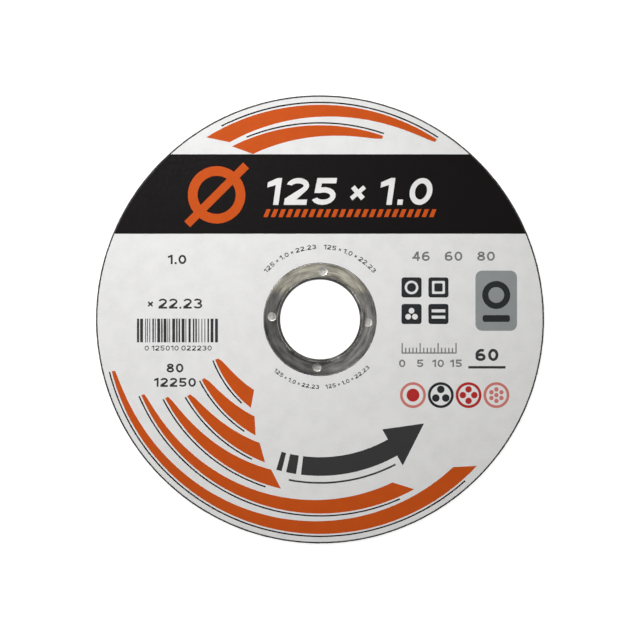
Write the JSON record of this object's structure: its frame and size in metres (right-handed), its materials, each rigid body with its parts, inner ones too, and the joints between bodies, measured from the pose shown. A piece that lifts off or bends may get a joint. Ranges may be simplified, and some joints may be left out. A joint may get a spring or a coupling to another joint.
{
  "type": "cut-off wheel",
  "caption": "Thin flat abrasive cut-off wheel with a printed paper label on its front and a stamped steel ring lining its arbor bore.",
  "frame": {"origin": "on the arbor axis, at the back face that the wheel lies on", "axes": "+Z along the arbor axis, out of the label; +Y towards the label's black band; +X to the right when the label is read"},
  "size_m": [0.125, 0.125, 0.0011],
  "materials": {
    "abrasive": "rough resin-bonded grain",
    "label_paper": "satin printed paper",
    "ring_steel": "stamped, dull zinc plate"
  },
  "bodies": {
    "root": {"abrasive_disc": "abrasive", "label": "label_paper", "centre_ring": "ring_steel"}
  },
  "joints": []
}
